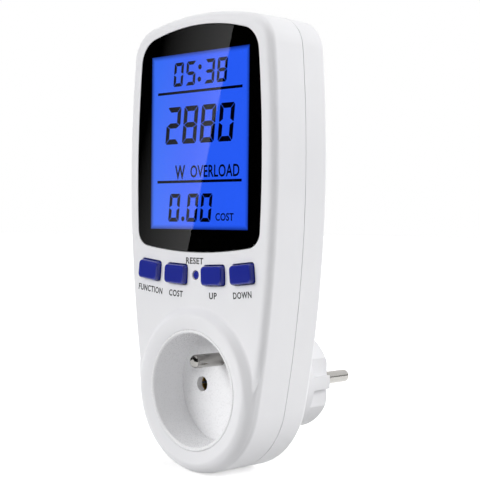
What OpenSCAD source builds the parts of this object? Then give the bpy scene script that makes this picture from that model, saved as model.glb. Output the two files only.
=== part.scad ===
// Plug-in power meter: an earthed wall plug on the back, a pass-through socket low on the front,
// a backlit display behind a dark window and a row of buttons between them.
// Millimetres. The origin is the middle of the plug's face, between its two pins.
// +Y points into the wall, -Y out of the front and +Z up. Plug and socket share the Y axis.

/* [Housing] */
// Width of the surround between the socket well and the round lower end
surround_w = 9.5; // [8:0.5:14]
// Half width of the housing where its bowed sides are widest
widest_half = 37.4; // [34:0.1:46]
// Height of the widest place above the socket axis
widest_z = 78; // [70:1:96]
// Height of the housing's top above the socket axis
top_z = 132.7; // [131:0.1:160]
// Radius of the arched top
top_arch_r = 117; // [90:1:160]
// Radius of the two top corners
top_corner_r = 12; // [10:0.5:18]
// Depth of the housing, from the front face to the back face
body_depth = 27.5; // [27:0.5:36]
// Depth of the front cover, from the front face to the parting line
front_depth = 15.8; // [14:0.1:19]
// Wall of both covers
wall = 2.2; // [1.9:0.05:2.7]
// Rounding of the front edge
front_edge_r = 3; // [1.5:0.1:4]
// Rounding of the rear edge
rear_edge_r = 2; // [1:0.1:3]
// Open line that shows between the two covers
seam = 0.3; // [0.1:0.05:0.5]
// Height of the rear cover's locating tongue
tongue_h = 1.6; // [1:0.1:3]

/* [Socket] */
// Radius of the socket well
well_r = 20; // [18:0.1:25]
// Depth of the socket well below its rim
well_depth = 14.6; // [14:0.1:16]
// Wall of the socket cup
cup_wall = 1.3; // [1:0.1:2]
// Floor of the socket cup
cup_floor = 2.5; // [2:0.1:4]
// Height of the round ridge that surrounds the socket
ridge_h = 2.5; // [1.5:0.1:3]
// Distance of the ridge's crest outside the socket cup
ridge_out = 4.5; // [4:0.1:5]
// Width of the ridge's outer slope
ridge_run = 4; // [2:0.1:6]
// Depth of the dish inside the ridge, where it meets the socket cup
dish_depth = 0.8; // [0.4:0.1:1.2]
// Distance between the two poles
pole_spacing = 19; // [17:0.1:20]
// Radius of the socket's two pole holes
pole_hole_r = 2.75; // [2.6:0.05:3]
// Height of the earth pin above the socket axis
earth_z = 10; // [9:0.1:11]
// Length of the earth pin in the well
earth_len = 13.7; // [11:0.1:14.2]

/* [Plug] */
// Length of the plug, from the housing's back face to the plug's face
plug_len = 25; // [21:0.5:30]
// Radius of the plug's round base
plug_base_r = 19.2; // [18.8:0.1:20]
// Radius of the plug's nose
plug_nose_r = 18.5; // [18.2:0.1:19]
// Length of the plug's nose
plug_nose_len = 10; // [8:0.1:12]
// Distance of the nose's two flats from the middle
plug_flat_x = 16.2; // [16:0.1:17.5]
// Height of the guide rib on each flat
guide_rib_h = 4.8; // [4:0.1:7]
// Radius of the pins
pin_r = 2.4; // [2:0.05:2.4]
// Length of the pins beyond the plug's face
pin_len = 19; // [17:0.1:20]
// Radius of the earth hole in the plug's face
earth_hole_r = 2.5; // [2.45:0.05:2.6]
// Thickness of the plug's face
plug_face_t = 4; // [3:0.1:5]

/* [Display] */
// Width of the part of the display that shows
view_w = 50; // [40:0.1:50.5]
// Height of the part of the display that shows
view_h = 62.5; // [50:0.1:64]
// Height of the display's middle above the socket axis
view_z = 87.8; // [85:0.1:90]
// Width of the display glass hidden on each side of what shows
glass_border = 2.3; // [1.5:0.1:2.4]
// Distance from the window's sides to the housing's sides
window_side = 5.6; // [4.5:0.1:6]
// Distance from the window's top to the housing's top
window_top = 4.3; // [3:0.1:6]
// Radius of the window's arched top
window_arch_r = 89; // [80:1:150]
// Height of the window's lowest point above the socket axis
window_low_z = 48.4; // [46:0.1:50]
// Radius of the window's bowed lower edge
window_bow_r = 177; // [120:1:260]
// Radius of the window's upper corners
window_top_corner_r = 9.5; // [6:0.1:11]
// Radius of the window's lower corners
window_low_corner_r = 6; // [3:0.1:8]
// Thickness of the window
window_t = 1.1; // [0.8:0.1:1.2]
// Thickness of the printed mask behind the window
mask_t = 0.15; // [0.1:0.01:0.2]
// Thickness of the display glass
glass_t = 2.2; // [1.8:0.1:3]
// Thickness of the backlight
backlight_t = 4; // [3.4:0.1:5]

/* [Buttons] */
// Width of a button cap
button_w = 10.2; // [8:0.1:11.5]
// Height of a button cap
button_h = 6.9; // [5:0.1:8]
// Height of a button cap above the front face
button_proud = 2; // [0.8:0.1:2.5]
// Fall of a cap's upper side, from the front cover to the cap's face
button_fall = 0.5; // [0:0.1:0.8]
// Distance from the middle to the two inner buttons
inner_button_x = 9.5; // [9:0.1:11]
// Distance from the middle to the two outer buttons
outer_button_x = 23.7; // [22.8:0.1:24.5]
// Distance of the button row's middle below the window's lower edge
button_drop = 7.9; // [7:0.1:9]
// Radius of the arc that the buttons hang on
button_bow_r = 229; // [150:1:400]
// Radius of the reset button
reset_r = 1.4; // [1:0.1:1.8]
// Travel of every button
button_travel = 0.6; // [0.3:0.05:0.6]
// Gap round a button in its slot
button_gap = 0.3; // [0.15:0.05:0.4]

/* [Boards] */
// Thickness of the circuit boards
board_t = 1.6; // [1:0.1:2]
// Height of the posts that carry the power board
standoff_h = 4.1; // [3:0.1:5]
// Half width of the power board
power_half = 23.5; // [20:0.5:24]
// Height of the power board's lower edge above the socket axis
power_low_z = 27; // [26.5:0.5:30]
// Height of the power board's upper edge above the socket axis
power_high_z = 116; // [110:0.5:118]
// Thickness of the current-carrying straps
strap_t = 0.8; // [0.5:0.1:1]

/* [Fits] */
// Gap round a piece that drops into its seat
seat_gap = 0.1; // [0.05:0.01:0.2]
// Gap round a piece that is guided or pushed home
close_gap = 0.05; // [0.02:0.01:0.1]
// Radius of the screws' threads
screw_r = 1.05; // [0.8:0.05:1.2]
// Radius of the screws' heads
screw_head_r = 2; // [1.6:0.1:2.2]
// Height of the screws' heads
screw_head_h = 1.3; // [1:0.1:1.6]

/* [Hidden] */
$fn = 64;

// Overlap that makes two joined shapes one
bite = 0.5;

// Depths along Y
back_y = -plug_len;
front_y = back_y - body_depth;
parting_y = front_y + front_depth;
inner_front_y = front_y + wall;
inner_back_y = back_y - wall;

// Outline of the housing: four arcs on each side, each tangent to the next
lower_r = well_r + surround_w;
side_r = (widest_half * widest_half + widest_z * widest_z - lower_r * lower_r)
    / (2 * (widest_half - lower_r));
side_c = [widest_half - side_r, widest_z];
top_c = [0, top_z - top_arch_r];
corner_c = meet(top_c, top_arch_r - top_corner_r, side_c, side_r - top_corner_r, 1);
housing_arcs = [
    [[0, 0], lower_r, -90, heading([0, 0] - side_c), 26],
    [side_c, side_r, heading([0, 0] - side_c), heading(corner_c - side_c), 14],
    [corner_c, top_corner_r, heading(corner_c - side_c), heading(corner_c - top_c), 14],
    [top_c, top_arch_r, heading(corner_c - top_c), 90, 6]];

// Outline of the window: its sides and top follow the housing, its lower edge bows down
bow_c = [0, window_low_z + window_bow_r];
pane_side_r = side_r - window_side;
pane_top_c = [0, top_z - window_top - window_arch_r];
pane_low_corner = meet(bow_c, window_bow_r - window_low_corner_r,
    side_c, pane_side_r - window_low_corner_r, -1);
pane_top_corner = meet(pane_top_c, window_arch_r - window_top_corner_r,
    side_c, pane_side_r - window_top_corner_r, 1);
window_arcs = [
    [bow_c, window_bow_r, -90, heading(pane_low_corner - bow_c), 6],
    [pane_low_corner, window_low_corner_r, heading(pane_low_corner - bow_c),
        heading(pane_low_corner - side_c), 10],
    [side_c, pane_side_r, heading(pane_low_corner - side_c), heading(pane_top_corner - side_c), 8],
    [pane_top_corner, window_top_corner_r, heading(pane_top_corner - side_c),
        heading(pane_top_corner - pane_top_c), 10],
    [pane_top_c, window_arch_r, heading(pane_top_corner - pane_top_c), 90, 6]];

// Display stack, from the front face inwards
recess_d = window_t + mask_t;
glass_w = view_w + 2 * glass_border;
glass_h = view_h + 2 * glass_border;
glass_y = front_y + recess_d + close_gap;
light_y = glass_y + glass_t;
panel_y = light_y + backlight_t;
panel_back_y = panel_y + board_t;
frame_wall = 1.6;
frame_half = glass_w / 2 + seat_gap + frame_wall;
frame_h = glass_h + 2 * (seat_gap + frame_wall);
zebra_w = 2;
zebra_inset = 0.4;

// Buttons hang on an arc of their own under the window
button_low_z = window_low_z - button_drop;
button_c = [0, button_low_z + button_bow_r];
button_tilts = [for (x = [-outer_button_x, -inner_button_x, inner_button_x, outer_button_x])
    asin(x / button_bow_r)];
button_corner_r = 1.2;
flange_out = 0.8;
flange_t = 0.9;
flange_y = inner_front_y + button_gap;
plunger_y = flange_y + flange_t;
plunger_r = 1.75;
plunger_len = 1.8;
switch_w = 6;
press_room = button_travel + 0.3;
switch_y = plunger_y + press_room;
plunger_hole = plunger_len;

// Posts and bosses
post_r = 1.9;
post_x = frame_half + seat_gap + post_r;
post_zs = [view_z - 27, view_z + 13];
front_boss_r = 2.4;
rear_boss_r = 3;
screw_hole_r = screw_r + close_gap;
top_boss_x = 19;
top_boss_z = top_c[1] + sqrt(pow(top_arch_r - wall, 2) - top_boss_x * top_boss_x)
    - front_boss_r - seat_gap;
low_boss_z = lower_r - 2;
low_boss_x = side_x(low_boss_z, wall) - front_boss_r - close_gap * 4;
cover_boss_places = [[-low_boss_x, low_boss_z], [low_boss_x, low_boss_z],
    [-top_boss_x, top_boss_z], [top_boss_x, top_boss_z]];
screw_seat_y = back_y - 4;
cover_screw_len = 12;
board_screw_len = 5.4;

// Display board outline, narrower at its lower end and cut away at its upper corners
panel_half = post_x + 1.5;
panel_low_z = button_low_z - 4.7;
panel_low_half = panel_half - 2;
panel_top_z = view_z + frame_h / 2 - 0.3;
panel_cut = 6;

// Power board
power_y = inner_back_y - standoff_h - board_t;
power_back_y = inner_back_y - standoff_h;
standoff_r = 2.2;
standoff_places = [for (x = [-power_half + 4, power_half - 4], z = [power_low_z + 12, power_high_z - 6])
    [x, z]];
lead_r = 0.35;

// Socket
pole_x = pole_spacing / 2;
cup_r = well_r + cup_wall;
surround_r = cup_r + seat_gap;
ridge_r = cup_r + ridge_out;
ridge_hollow_r = lower_r - wall - bite;
collar_r = surround_r + wall;
lip_y = front_y - ridge_h + dish_depth - 0.2;
seat_y = inner_front_y + 2.3;
floor_y = lip_y + well_depth;
cup_back_y = floor_y + cup_floor;
cup_flange_r = cup_r + 2.7;
cup_flange_t = 1.5;

// Contacts, and the carrier that holds them behind the socket cup
contact_in_r = pin_r + close_gap;
contact_out_r = contact_in_r + 0.75;
contact_y = cup_back_y + 0.2;
contact_back_y = floor_y + pin_len + 1.5;
contact_tab_t = 0.8;
carrier_t = power_back_y - 2 * seat_gap - cup_back_y;
carrier_r = cup_r - 0.8;
tower_r = 5;
tower_back_y = contact_back_y - contact_tab_t - 1;
foot_r = 1.8;

// Plug
plug_hollow_r = 15;
plug_flange_r = plug_base_r + 2.8;
plug_flange_t = 2;
plug_flange_y = inner_back_y - plug_flange_t;
pin_neck_r = pin_r - 0.2;
pin_shoulder_r = 3.6;
pin_shoulder_y = -plug_face_t - 2;
pin_tail_r = 1.6;
pin_tail_y = pin_shoulder_y - 2;
strap_z = tower_r + 0.3;
strap_end_z = power_low_z + 6;
tube_wall = 0.8;
tube_in_r = pin_r - 0.15;

// The line's two straps lie side by side over the line contact
line_strap_w = 3;
line_out_x = pole_x - 2.2;
line_in_x = pole_x + 2.2;
neutral_strap_w = 5;

// Earth clip, and the pockets in the plug that its legs stand in
earth_plate_y = -plug_face_t - earth_len + 1;
clip_w = 6;
clip_slot_w = clip_w + 0.8;
clip_z = plug_hollow_r + 0.6;
clip_mouth_y = -13;
clip_end_y = -1.2;

// Direction of a vector, in degrees
function heading(v) = atan2(v[1], v[0]);

// Point at distance r1 from c1 and r2 from c2, on the chosen side of the line between them
function meet(c1, r1, c2, r2, side) =
    let (d = norm(c2 - c1), u = (c2 - c1) / d)
    let (a = (r1 * r1 - r2 * r2 + d * d) / (2 * d), h = sqrt(r1 * r1 - a * a))
    c1 + a * u + side * h * [u[1], -u[0]];

// Half width of the housing at a height, set in from its side
function side_x(z, inset) = side_c[0] + sqrt(pow(side_r - inset, 2) - pow(z - side_c[1], 2));

// Closed outline from the arcs of its right half, bottom to top, set in and mirrored
function half_outline(arcs, inset) = [for (k = [0 : len(arcs) - 1], i = [(k == 0 ? 0 : 1) : arcs[k][4]])
    let (a = arcs[k], t = a[2] + (a[3] - a[2]) * i / a[4])
    a[0] + (a[1] - inset) * [cos(t), sin(t)]];
function mirrored(half) = concat(half,
    [for (i = [len(half) - 2 : -1 : 1]) [-half[i][0], half[i][1]]]);
function outline(inset) = mirrored(half_outline(housing_arcs, inset));
function window_outline(inset) = mirrored(half_outline(window_arcs, inset));

// Rounded rectangle about its middle
function round_rect(w, h, r, steps = 5) = [for (q = [0 : 3], i = [0 : steps])
    let (t = 90 * q + 90 * i / steps)
    let (sx = (q == 0 || q == 3) ? 1 : -1, sz = q < 2 ? 1 : -1)
    [sx * (w / 2 - r) + r * cos(t), sz * (h / 2 - r) + r * sin(t)]];

// Flat shape in X and Z, given thickness from one depth to another
module slab(y0, y1) {
    translate([0, y1, 0])
        rotate([90, 0, 0])
        linear_extrude(y1 - y0)
        children();
}

// Round bar along Y
module rod(x, z, r, y0, y1) {
    translate([x, y0, z])
        rotate([-90, 0, 0])
        cylinder(r = r, h = y1 - y0);
}

// Profile of radius and Y, turned about an axis along Y
module turned(x, z) {
    translate([x, 0, z])
        rotate([-90, 0, 0])
        rotate_extrude()
        children();
}

// Box from its lowest to its highest corner
module box(low, high) {
    translate(low)
        cube(high - low);
}

// Flat shape in Y and Z, given width in X about a place
module strip(x, w) {
    translate([x - w / 2, 0, 0])
        rotate([90, 0, 90])
        linear_extrude(w)
        children();
}

// Solid through a row of outlines, each a depth and a list of points in X and Z, front to back
module loft(rings) {
    n = len(rings[0][1]);
    last = len(rings) - 1;
    walls = [for (k = [0 : last - 1], i = [0 : n - 1])
        let (j = (i + 1) % n)
        each [[k * n + i, k * n + j, (k + 1) * n + j], [k * n + i, (k + 1) * n + j, (k + 1) * n + i]]];
    polyhedron(
        points = [for (r = rings, p = r[1]) [p[0], r[0], p[1]]],
        faces = concat([[for (i = [n - 1 : -1 : 0]) i]], walls, [[for (i = [0 : n - 1]) last * n + i]]));
}

// Depth and inset of each outline along a rounded edge, from the face to the side
function edge_steps(r, steps) = [for (i = [0 : steps])
    let (a = 90 * i / steps)
    [r * (1 - cos(a)), r * (1 - sin(a))]];

// Solid block with the housing's outline, rounded at its front or back edge and open at the other
module front_block(inset, y_edge, y_open, edge_r, steps) {
    loft(concat(
        [for (e = edge_steps(edge_r, steps)) [y_edge + e[0], outline(inset + e[1])]],
        [[y_open, outline(inset)]]));
}

module rear_block(inset, y_edge, y_open, edge_r, steps) {
    rows = edge_steps(edge_r, steps);
    loft(concat(
        [[y_open, outline(inset)]],
        [for (i = [steps : -1 : 0]) [y_edge - rows[i][0], outline(inset + rows[i][1])]]));
}

// Puts a flat shape at a button's place on the arc
module at_button(tilt) {
    translate(button_c)
        rotate(tilt)
        translate([0, -button_bow_r])
        children();
}

// Puts a flat shape at the same place, upright
module upright_at_button(tilt) {
    translate(button_c + button_bow_r * [sin(tilt), -cos(tilt)])
        children();
}

// Height of the ridge above the front face, at a share of its inner or outer slope
function ridge_in(t) = ridge_h - dish_depth * (1 - cos(90 * t));
function ridge_fall(t) = ridge_h * (0.5 + 0.5 * cos(180 * t));

// Hollow ridge round the socket, with the dish inside it and the collar that seats the cup behind it
module socket_surround() {
    steps = 8;
    crest_y = front_y - ridge_h;
    inner = [for (i = [steps : -1 : 0])
        [ridge_r - (ridge_r - surround_r) * i / steps, front_y - ridge_in(i / steps)]];
    outer = [for (i = [1 : steps])
        [ridge_r + ridge_run * i / steps, front_y - ridge_fall(i / steps)]];
    behind = [[ridge_r + ridge_run + wall, front_y + wall / 2], [ridge_hollow_r, front_y + wall / 2],
        [ridge_hollow_r, crest_y + wall], [collar_r, crest_y + wall], [collar_r, seat_y],
        [surround_r, seat_y]];
    intersection() {
        turned(0, 0)
            polygon(concat(inner, outer, behind));
        front_block(0, crest_y - wall / 10, parting_y - tongue_h - bite, ridge_h + front_edge_r, 8);
    }
}

module front_shell() {
    difference() {
        front_block(0, front_y, parting_y - seam / 2, front_edge_r, 5);
        front_block(wall, inner_front_y, parting_y + bite, front_edge_r / 3, 2);
        slab(parting_y - tongue_h - seam, parting_y + bite)
            polygon(outline(wall / 2));
        rod(0, 0, ridge_hollow_r - bite, front_y - 1, inner_front_y + 1);
    }
}

module front_cover() {
    color("white")
    difference() {
        union() {
            front_shell();
            socket_surround();
            for (p = cover_boss_places)
                rod(p[0], p[1], front_boss_r, inner_front_y - bite, parting_y);
            for (s = [-1, 1], z = post_zs)
                rod(s * post_x, z, post_r, inner_front_y - bite, panel_y);
        }
        slab(front_y - 1, front_y + recess_d)
            polygon(window_outline(0));
        slab(front_y, inner_front_y + 1)
            translate([0, view_z])
            square([glass_w + 2 * seat_gap, glass_h + 2 * seat_gap], center = true);
        for (t = button_tilts)
            slab(front_y - 1, inner_front_y + 1)
                at_button(t)
                polygon(round_rect(button_w + 2 * button_gap, button_h + 2 * button_gap, button_corner_r));
        rod(0, button_low_z, reset_r + button_gap, front_y - 1, inner_front_y + 1);
        for (p = cover_boss_places)
            rod(p[0], p[1], screw_hole_r, screw_seat_y - cover_screw_len - 1, parting_y + 1);
        for (s = [-1, 1], z = post_zs)
            rod(s * post_x, z, screw_hole_r, panel_back_y - board_screw_len - 0.4, panel_y + 1);
    }
}

module rear_shell() {
    difference() {
        rear_block(0, back_y, parting_y + seam / 2, rear_edge_r, 4);
        rear_block(wall, inner_back_y, parting_y - bite, rear_edge_r / 3, 2);
    }
}

module rear_cover() {
    color("white")
    difference() {
        union() {
            rear_shell();
            slab(parting_y - tongue_h, parting_y + bite)
                difference() {
                    polygon(outline(wall / 2 + seat_gap));
                    polygon(outline(wall));
                }
            for (p = cover_boss_places)
                rod(p[0], p[1], rear_boss_r, parting_y + seat_gap, inner_back_y + bite);
            for (p = standoff_places)
                rod(p[0], p[1], standoff_r, power_back_y, inner_back_y + bite);
        }
        rod(0, 0, plug_base_r + seat_gap, inner_back_y - 1, back_y + 1);
        for (p = cover_boss_places) {
            rod(p[0], p[1], screw_hole_r, parting_y - 1, back_y + 1);
            rod(p[0], p[1], screw_head_r + seat_gap, screw_seat_y, back_y + 1);
        }
        for (p = standoff_places)
            rod(p[0], p[1], screw_hole_r, power_back_y - 1, power_y + board_screw_len + 0.3);
    }
}

// Pocket for one leg of the earth clip, open on the outside of the plug near its face
module clip_pocket(side) {
    half = clip_slot_w / 2;
    low_z = plug_hollow_r - 1;
    rotate([0, side > 0 ? 0 : 180, 0]) {
        box([-half, earth_plate_y - strap_t - 0.4, low_z], [half, clip_end_y, clip_z + 1.5]);
        box([-half, clip_mouth_y, low_z], [half, clip_end_y, plug_base_r + 1]);
    }
}

module plug_body() {
    bevel = 0.8;
    color("white")
    difference() {
        turned(0, 0)
            polygon([[plug_hollow_r, plug_flange_y], [plug_flange_r, plug_flange_y],
                [plug_flange_r, inner_back_y], [plug_base_r, inner_back_y],
                [plug_base_r, -plug_nose_len - bevel / 2], [plug_base_r - bevel / 2, -plug_nose_len],
                [plug_nose_r, -plug_nose_len], [plug_nose_r, -bevel], [plug_nose_r - bevel, 0],
                [0, 0], [0, -plug_face_t], [plug_hollow_r, -plug_face_t]]);
        for (turn = [0, 180], flip = [0, 1])
            rotate([0, turn, 0])
            mirror([0, 0, flip])
            box([plug_flat_x, -plug_nose_len, guide_rib_h / 2], [plug_base_r + 1, 1, plug_base_r]);
        for (s = [-1, 1])
            rod(s * pole_x, 0, pin_neck_r + close_gap, -plug_face_t - 1, 1);
        rod(0, earth_z, earth_hole_r, -plug_face_t - 1, 1);
        for (s = [-1, 1])
            clip_pocket(s);
    }
}

module socket_cup() {
    round_r = 0.5;
    color("whitesmoke")
    difference() {
        turned(0, 0)
            polygon([[0, floor_y], [well_r, floor_y], [well_r, lip_y + round_r],
                [well_r + round_r, lip_y], [cup_r - round_r / 2, lip_y], [cup_r, lip_y + round_r / 2],
                [cup_r, seat_y], [cup_flange_r, seat_y], [cup_flange_r, seat_y + cup_flange_t],
                [cup_r, seat_y + cup_flange_t], [cup_r, cup_back_y], [0, cup_back_y]]);
        for (s = [-1, 1])
            rod(s * pole_x, 0, pole_hole_r, floor_y - 1, cup_back_y + 1);
        rod(0, earth_z, pin_tail_r + close_gap, floor_y - 1, cup_back_y + 1);
    }
}

module contact_carrier() {
    carrier_back_y = cup_back_y + carrier_t;
    color("dimgray")
    difference() {
        union() {
            rod(0, 0, carrier_r, cup_back_y, carrier_back_y);
            for (s = [-1, 1])
                rod(s * pole_x, 0, tower_r, carrier_back_y - bite, tower_back_y);
            for (a = [90, 210, 330])
                rod((carrier_r - foot_r) * cos(a), (carrier_r - foot_r) * sin(a), foot_r,
                    carrier_back_y - bite, plug_flange_y);
        }
        for (s = [-1, 1])
            rod(s * pole_x, 0, contact_out_r + close_gap, cup_back_y - 1, tower_back_y + 1);
        rod(0, earth_z, pin_tail_r + close_gap, cup_back_y - 1, carrier_back_y + 1);
    }
}

// Earth pin with a round tip, seated on the cup's floor, with a thin tail back to the earth clip
module socket_earth_pin() {
    tip_r = 1.6;
    tip_steps = 6;
    tip_y = floor_y - earth_len;
    color("silver")
    turned(0, earth_z)
        polygon(concat([[0, earth_plate_y - strap_t], [0, tip_y]],
            [for (i = [0 : tip_steps]) let (a = 90 * i / tip_steps)
                [pin_r - tip_r + tip_r * sin(a), tip_y + tip_r * (1 - cos(a))]],
            [[pin_r, floor_y], [pin_tail_r, floor_y], [pin_tail_r, earth_plate_y - strap_t]]));
}

// Sprung sleeve that grips a pin: slit from its mouth, with a tab up to its strap
module sleeve_contact(x, tab_x0, tab_x1) {
    slit_w = 0.8;
    slit_back_y = contact_y + 0.7 * (contact_back_y - contact_y);
    difference() {
        union() {
            rod(x, 0, contact_out_r, contact_y, contact_back_y);
            box([tab_x0, contact_back_y - contact_tab_t, 0], [tab_x1, contact_back_y, strap_z]);
        }
        rod(x, 0, contact_in_r, contact_y - 1, contact_back_y + 1);
        for (turn = [0, 90])
            translate([x, 0, 0])
            rotate([0, turn, 0])
            box([-slit_w / 2, contact_y - 1, -contact_out_r - 1],
                [slit_w / 2, slit_back_y, contact_out_r + 1]);
    }
}

module line_contact() {
    color("goldenrod")
        sleeve_contact(pole_x, line_out_x - line_strap_w / 2, line_out_x + line_strap_w / 2);
}

module neutral_contact() {
    color("goldenrod")
        sleeve_contact(-pole_x, -pole_x - neutral_strap_w / 2, -pole_x + neutral_strap_w / 2);
}

// Plug pin with a round tip, a neck in the plug's face, a shoulder behind it and a short tail
module plug_pin(x) {
    tip_r = 1.5;
    tip_steps = 6;
    turned(x, 0)
        polygon(concat([[0, pin_tail_y], [pin_tail_r, pin_tail_y], [pin_tail_r, pin_shoulder_y],
                [pin_shoulder_r, pin_shoulder_y], [pin_shoulder_r, -plug_face_t],
                [pin_neck_r, -plug_face_t], [pin_neck_r, 0], [pin_r, 0]],
            [for (i = [0 : tip_steps]) let (a = 90 * i / tip_steps)
                [pin_r - tip_r + tip_r * cos(a), pin_len - tip_r + tip_r * sin(a)]],
            [[0, pin_len]]));
}

module line_pin() {
    color("silver")
        plug_pin(pole_x);
}

module neutral_pin() {
    color("silver")
        plug_pin(-pole_x);
}

// Split tube behind the plug's earth hole
module plug_earth_tube() {
    slit_w = 0.8;
    color("goldenrod")
    difference() {
        rod(0, earth_z, earth_hole_r + tube_wall, earth_plate_y, -plug_face_t);
        rod(0, earth_z, tube_in_r, earth_plate_y + strap_t, -plug_face_t + 1);
        box([-slit_w / 2, earth_plate_y + 3, earth_z], [slit_w / 2, 1, earth_z + earth_hole_r + 2]);
    }
}

// Earth clip: one bent strip whose two legs bulge out through the top and bottom of the plug
module earth_clip() {
    back = earth_plate_y - strap_t;
    bulge_z = plug_nose_r - 0.6;
    bulge_y = (clip_mouth_y + clip_end_y) / 2;
    end_y = clip_end_y - 0.8;
    upper = [[clip_mouth_y + 1, clip_z], [bulge_y - 1, bulge_z], [bulge_y + 1, bulge_z], [end_y, clip_z]];
    leg = concat([for (p = upper) p + [0, strap_t]], [for (i = [3 : -1 : 0]) upper[i]]);
    color("silver")
        strip(0, clip_w)
        polygon(concat([[back, -clip_z - strap_t], [back, clip_z + strap_t]], leg,
            [[earth_plate_y, clip_z], [earth_plate_y, -clip_z]],
            [for (i = [len(leg) - 1 : -1 : 0]) [leg[i][0], -leg[i][1]]]));
}

// Strap over a contact and up the back of the power board, with an optional foot on a pin's tail
module strap(x, w, start_y, foot_z) {
    strip(x, w)
        polygon([[start_y, foot_z], [start_y, strap_z + strap_t], [power_back_y + strap_t, strap_z + strap_t],
            [power_back_y + strap_t, strap_end_z], [power_back_y, strap_end_z], [power_back_y, strap_z],
            [start_y - strap_t, strap_z], [start_y - strap_t, foot_z]]);
}

module line_in_strap() {
    color("chocolate")
    union() {
        strap(line_in_x, line_strap_w, pin_tail_y, -pin_tail_r);
        box([pole_x - pin_tail_r, pin_tail_y - strap_t, -pin_tail_r],
            [line_in_x, pin_tail_y, pin_tail_r]);
    }
}

module line_out_strap() {
    color("chocolate")
        strap(line_out_x, line_strap_w, contact_back_y, strap_z);
}

module neutral_strap() {
    color("chocolate")
        strap(-pole_x, neutral_strap_w, pin_tail_y, -pin_tail_r);
}

module display_window() {
    color("black")
        slab(front_y, front_y + window_t)
        polygon(window_outline(seat_gap));
}

module display_mask() {
    color("black")
        slab(front_y + window_t, front_y + recess_d)
        difference() {
            polygon(window_outline(seat_gap));
            translate([0, view_z])
                square([view_w, view_h], center = true);
        }
}

module lcd_panel() {
    color("royalblue")
        slab(glass_y, light_y)
        translate([0, view_z])
        square([glass_w, glass_h], center = true);
}

module backlight() {
    light_h = glass_h - zebra_w - 2 * zebra_inset;
    color("aliceblue")
        slab(light_y, panel_y)
        translate([0, view_z + (glass_h - light_h) / 2])
        square([glass_w, light_h], center = true);
}

// Frame that holds the display glass and the backlight to their board
module lcd_frame() {
    color("gray")
        slab(inner_front_y + seat_gap, panel_y)
        translate([0, view_z])
        difference() {
            polygon(round_rect(2 * frame_half, frame_h, 1));
            square([glass_w + 2 * seat_gap, glass_h + 2 * seat_gap], center = true);
        }
}

module zebra_strip() {
    color("hotpink")
        slab(light_y, panel_y)
        translate([0, view_z - glass_h / 2 + zebra_inset + zebra_w / 2])
        square([view_w, zebra_w], center = true);
}

module display_board() {
    half = [[panel_low_half, panel_low_z], [panel_half, panel_low_z + 16],
        [panel_half, panel_top_z - 2 * panel_cut - 4], [panel_half - panel_cut, panel_top_z]];
    color("darkgreen")
    difference() {
        slab(panel_y, panel_back_y)
            polygon(concat(half, [for (i = [len(half) - 1 : -1 : 0]) [-half[i][0], half[i][1]]]));
        for (s = [-1, 1], z = post_zs)
            rod(s * post_x, z, screw_hole_r, panel_y - 1, panel_back_y + 1);
    }
}

// Body of one push switch, with the hole its plunger moves in
module tact_switch(tilt) {
    difference() {
        slab(switch_y, panel_y)
            upright_at_button(tilt)
            square(switch_w, center = true);
        slab(switch_y - 1, switch_y + plunger_hole)
            upright_at_button(tilt)
            circle(r = plunger_r + seat_gap);
    }
}

module tact_switches() {
    color("black")
        for (t = concat(button_tilts, [0]))
            tact_switch(t);
}

module switch_plunger(tilt) {
    slab(plunger_y, plunger_y + plunger_len)
        upright_at_button(tilt)
        circle(r = plunger_r);
}

// Outline of a button cap, set in from its sides, with its upper side lowered
function cap_outline(inset, fall) = [for (p = round_rect(button_w - 2 * inset,
    button_h - 2 * inset - fall, button_corner_r)) p - [0, fall / 2]];

// Button cap with a rounded face, and the flange that keeps it behind the front cover
module button_cap(tilt) {
    edge_r = 0.6;
    face_y = front_y - button_proud;
    color("navy")
    translate([button_c[0], 0, button_c[1]])
        rotate([0, -tilt, 0])
        translate([0, 0, -button_bow_r]) {
            loft(concat(
                [for (e = edge_steps(edge_r, 3))
                    [face_y + e[0], cap_outline(e[1], button_fall * (1 - e[0] / button_proud))]],
                [[front_y, cap_outline(0, 0)], [flange_y + flange_t / 2, cap_outline(0, 0)]]));
            slab(flange_y, plunger_y)
                polygon(round_rect(button_w + 2 * flange_out, button_h + 2 * flange_out,
                    button_corner_r));
        }
}

module function_button() { button_cap(button_tilts[0]); }
module cost_button() { button_cap(button_tilts[1]); }
module up_button() { button_cap(button_tilts[2]); }
module down_button() { button_cap(button_tilts[3]); }

// Reset button: a slim pin with its face just below the front cover's
module reset_button() {
    sunk = 0.15;
    edge = 0.3;
    color("navy")
    turned(0, button_low_z)
        polygon([[0, front_y + sunk], [reset_r - edge, front_y + sunk], [reset_r, front_y + sunk + edge],
            [reset_r, flange_y], [reset_r + flange_out, flange_y], [reset_r + flange_out, plunger_y],
            [0, plunger_y]]);
}

module function_plunger() { color("black") switch_plunger(button_tilts[0]); }
module cost_plunger() { color("black") switch_plunger(button_tilts[1]); }
module up_plunger() { color("black") switch_plunger(button_tilts[2]); }
module down_plunger() { color("black") switch_plunger(button_tilts[3]); }
module reset_plunger() { color("black") switch_plunger(0); }

module power_board() {
    color("darkgreen")
    difference() {
        box([-power_half, power_y, power_low_z], [power_half, power_back_y, power_high_z]);
        for (p = standoff_places)
            rod(p[0], p[1], screw_hole_r, power_y - 1, power_back_y + 1);
    }
}

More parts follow.
